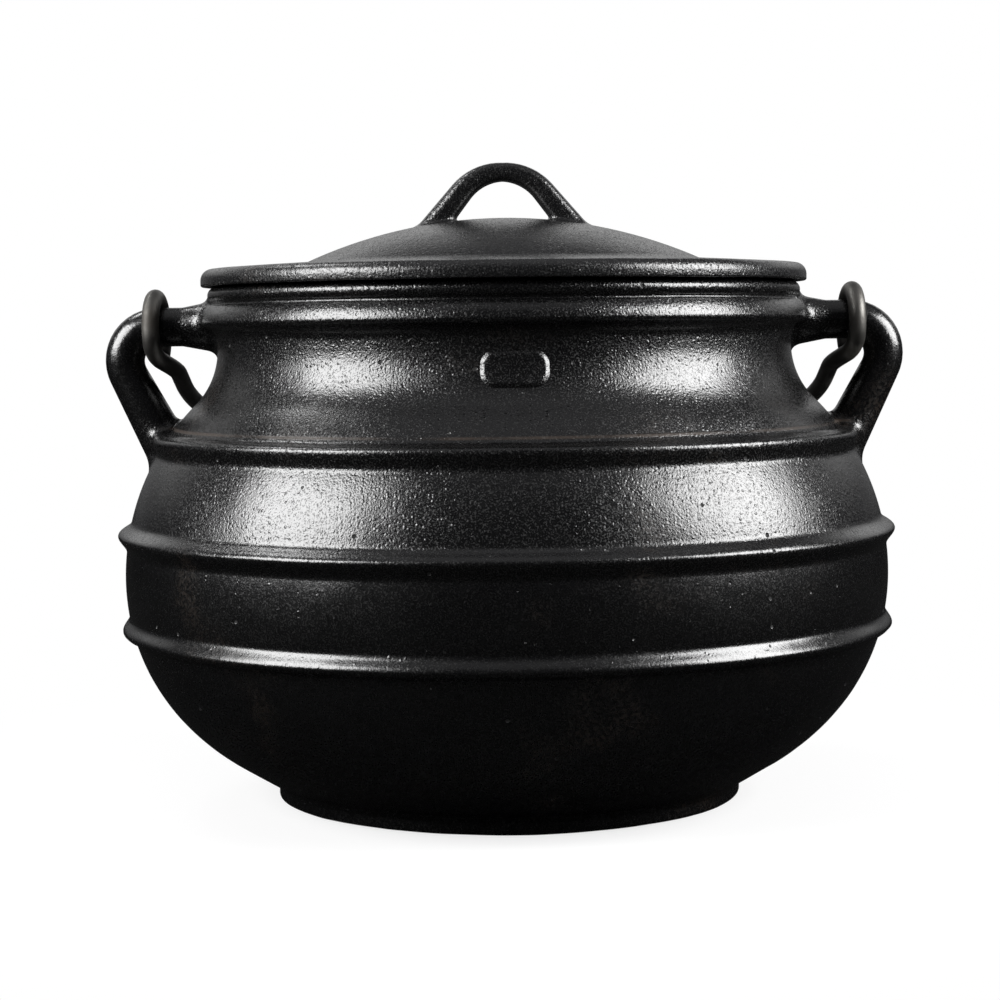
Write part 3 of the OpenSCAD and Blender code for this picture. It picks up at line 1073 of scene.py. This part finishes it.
@dataclass(frozen=True)
class Softbox:
    """A soft rectangular light that faces the pot."""

    name: str
    azimuth: float
    elevation: float
    distance: float
    width: float
    height: float
    power: float

    def hang(self) -> None:
        """Adds the light, aimed at the pot's middle."""
        lamp = bpy.data.lights.new(self.name, "AREA")
        lamp.shape, lamp.energy = "RECTANGLE", self.power
        lamp.size, lamp.size_y = self.width, self.height
        light = set_down(self.name, lamp)
        a, e = math.radians(self.azimuth), math.radians(self.elevation)
        way = Vector((math.sin(a) * math.cos(e), -math.cos(a) * math.cos(e), math.sin(e)))
        light.location = POT_MIDDLE + way * self.distance
        light.rotation_euler = (-way).to_track_quat("-Z", "Y").to_euler()
        light.visible_camera = False


@dataclass
class Studio:
    """The camera, lights, pale floor and white surroundings."""

    lens: float = 85.3
    sensor: float = 36
    eye: tuple[float, float, float] = (-0.0014, -0.553, 0.1075)
    pitch: float = 4.07
    roll: float = 0.69
    wall_rise: Span = (0.10, 0.34)
    wall_fall: Span = (0.38, 0.62)
    wall_side: Span = (0.45, 0.8)
    wall_light: float = 0.9
    core_side: Span = (0.72, 0.97)
    core_light: float = 0.15
    horizon: Colour = (0.034, 0.034, 0.037)
    zenith: Colour = (0.36, 0.36, 0.37)
    zenith_rise: Span = (0.60, 1.0)
    floor_reach: float = 6
    floor_z: float = -0.2 * MM
    floor_lit: Colour = (0.8, 0.8, 0.8)
    floor_mirrored: Colour = (0.008, 0.008, 0.008)
    shadow_reach: Span = (0.07, 0.19)
    shadow_glow: float = 0.75
    lights: tuple[Softbox, ...] = (
        Softbox("left_softbox", -67, 26.5, 0.95, 0.62, 0.56, 18.5),
        Softbox("right_softbox", 76, 27, 0.95, 0.62, 0.56, 19.5),
        Softbox("upper_left_fill", -126, 52, 0.95, 0.24, 0.18, 1.4),
    )

    def camera(self) -> None:
        """Sets the camera where the photograph was taken from."""
        data = bpy.data.cameras.new("camera")
        data.lens, data.sensor_width, data.clip_start = self.lens, self.sensor, 10 * MM
        camera = set_down("camera", data)
        p, r = math.radians(self.pitch), math.radians(self.roll)
        ahead = Vector((0, math.cos(p), -math.sin(p)))
        right, up = Vector((1, 0, 0)), Vector((0, math.sin(p), math.cos(p)))
        side = right * math.cos(r) - up * math.sin(r)
        top = up * math.cos(r) + right * math.sin(r)
        turn = Matrix((side, top, -ahead)).transposed().to_4x4()
        camera.matrix_world = Matrix.Translation(self.eye) @ turn
        bpy.context.scene.camera = camera

    def world(self) -> None:
        """Shows white to the camera, and a white wall behind a dim studio to everything else."""
        world = bpy.data.worlds.new("studio")
        world.use_nodes = True
        bpy.context.scene.world = world
        graph = Graph(world.node_tree)
        path = graph.add("ShaderNodeLightPath")
        way = graph.add("ShaderNodeSeparateXYZ", {0: graph.add("ShaderNodeTexCoord")["Generated"]})
        band = way["Z"].step(*self.wall_rise) * (1 - way["Z"].step(*self.wall_fall))
        behind = way["Y"].step(*self.wall_side) * band * self.wall_light
        behind = behind + way["Y"].step(*self.core_side) * self.core_light
        seen = path["Is Camera Ray"] + path["Is Transmission Ray"] + path["Is Glossy Ray"] * behind
        room = graph.mix(way["Z"].step(*self.zenith_rise), rgba(self.horizon), rgba(self.zenith))
        colour = graph.mix(seen.math("MINIMUM", 1.0), room, rgba(WHITE))
        sky = graph.add("ShaderNodeBackground", {"Color": colour, "Strength": 1.0})[0]
        graph.add("ShaderNodeOutputWorld", {"Surface": sky})

    def floor(self) -> None:
        """Lays the pale floor, white to the camera where no shadow falls."""
        mesh = bpy.data.meshes.new("floor")
        corners = ((-1, -1), (1, -1), (1, 1), (-1, 1))
        far, z = self.floor_reach, self.floor_z
        mesh.from_pydata([(x * far, y * far, z) for x, y in corners], [], [(0, 1, 2, 3)])
        floor = set_down("floor", mesh)
        material, graph, place = new_material("pale_floor")
        path = graph.add("ShaderNodeLightPath")
        dim = graph.mix(path["Is Glossy Ray"], rgba(self.floor_lit), rgba(self.floor_mirrored))
        lit = graph.add("ShaderNodeBsdfDiffuse", {"Color": dim})[0]
        glow = graph.add("ShaderNodeEmission", {"Color": rgba(WHITE), "Strength": 1.0})[0]
        share = place.length().step(*self.shadow_reach) * (1 - self.shadow_glow) + self.shadow_glow
        both = graph.add("ShaderNodeMixShader", {0: path["Is Camera Ray"] * share, 1: lit, 2: glow})[0]
        graph.add("ShaderNodeOutputMaterial", {"Surface": both})
        mesh.materials.append(material)

    def build(self) -> None:
        """Sets up everything round the pot."""
        self.camera()
        self.world()
        self.floor()
        for light in self.lights:
            light.hang()
        bpy.context.scene.view_settings.view_transform = "Standard"


def main() -> None:
    """Builds the studio and the pieces."""
    logging.basicConfig(level=logging.INFO, format="%(message)s")
    Studio().build()
    lathe, sweep = Lathe(), Sweep()
    pot = Pot()
    pot.build(lathe)
    Lid(pot).build(lathe)
    Bail(pot).build(sweep)


if __name__ == "__main__":
    main()
